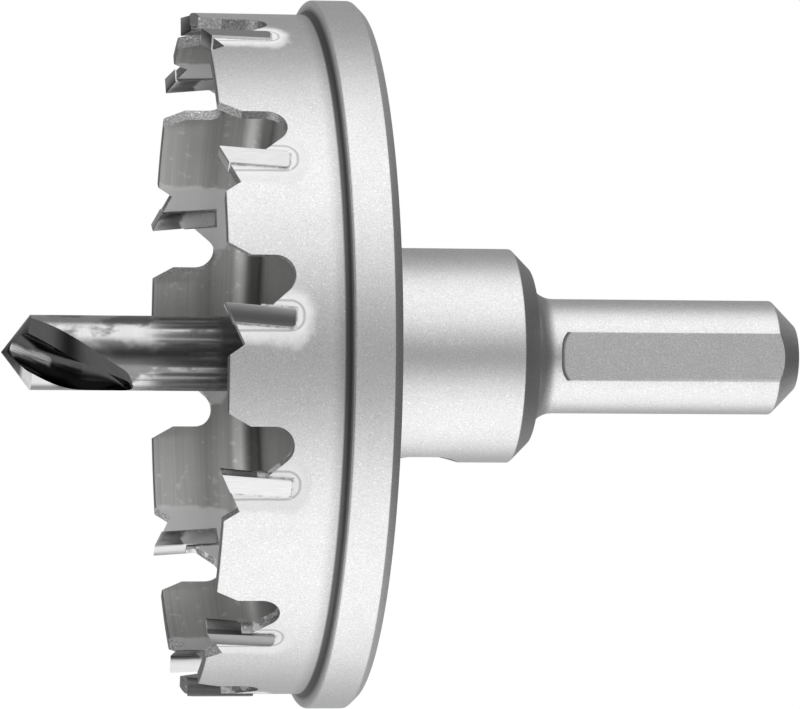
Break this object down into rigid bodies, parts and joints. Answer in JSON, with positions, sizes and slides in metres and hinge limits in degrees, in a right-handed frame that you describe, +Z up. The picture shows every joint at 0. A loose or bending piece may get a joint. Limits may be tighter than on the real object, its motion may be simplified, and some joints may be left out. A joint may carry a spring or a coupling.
{
  "type": "hole saw",
  "caption": "Carbide-tipped hole saw with a shallow toothed cup, wide flange, stepped hub, flatted straight shank and a short twist pilot drill.",
  "frame": {"origin": "centre of the shank's end face, on the tool axis", "axes": "+X along the tool axis from the pilot point to the shank end, +Z up with the set screw below the hub, -Y to the side of one shank flat"},
  "size_m": [0.0882, 0.0776, 0.0776],
  "materials": {
    "body_steel": "fine bead-blasted satin steel",
    "carbide": "ground tungsten carbide, mid grey",
    "braze": "silver braze, satin",
    "drill_steel": "polished high-speed steel",
    "screw_steel": "black oxide"
  },
  "bodies": {
    "root": {"saw_body": "body_steel", "pilot_drill": "drill_steel", "set_screw": "screw_steel", "carbide_tip_01": "carbide", "carbide_tip_02": "carbide", "carbide_tip_03": "carbide", "carbide_tip_04": "carbide", "carbide_tip_05": "carbide", "carbide_tip_06": "carbide", "carbide_tip_07": "carbide", "carbide_tip_08": "carbide", "carbide_tip_09": "carbide", "carbide_tip_10": "carbide", "carbide_tip_11": "carbide", "carbide_tip_12": "carbide", "braze_seam_01": "braze", "braze_seam_02": "braze", "braze_seam_03": "braze", "braze_seam_04": "braze", "braze_seam_05": "braze", "braze_seam_06": "braze", "braze_seam_07": "braze", "braze_seam_08": "braze", "braze_seam_09": "braze", "braze_seam_10": "braze", "braze_seam_11": "braze", "braze_seam_12": "braze"}
  },
  "joints": []
}
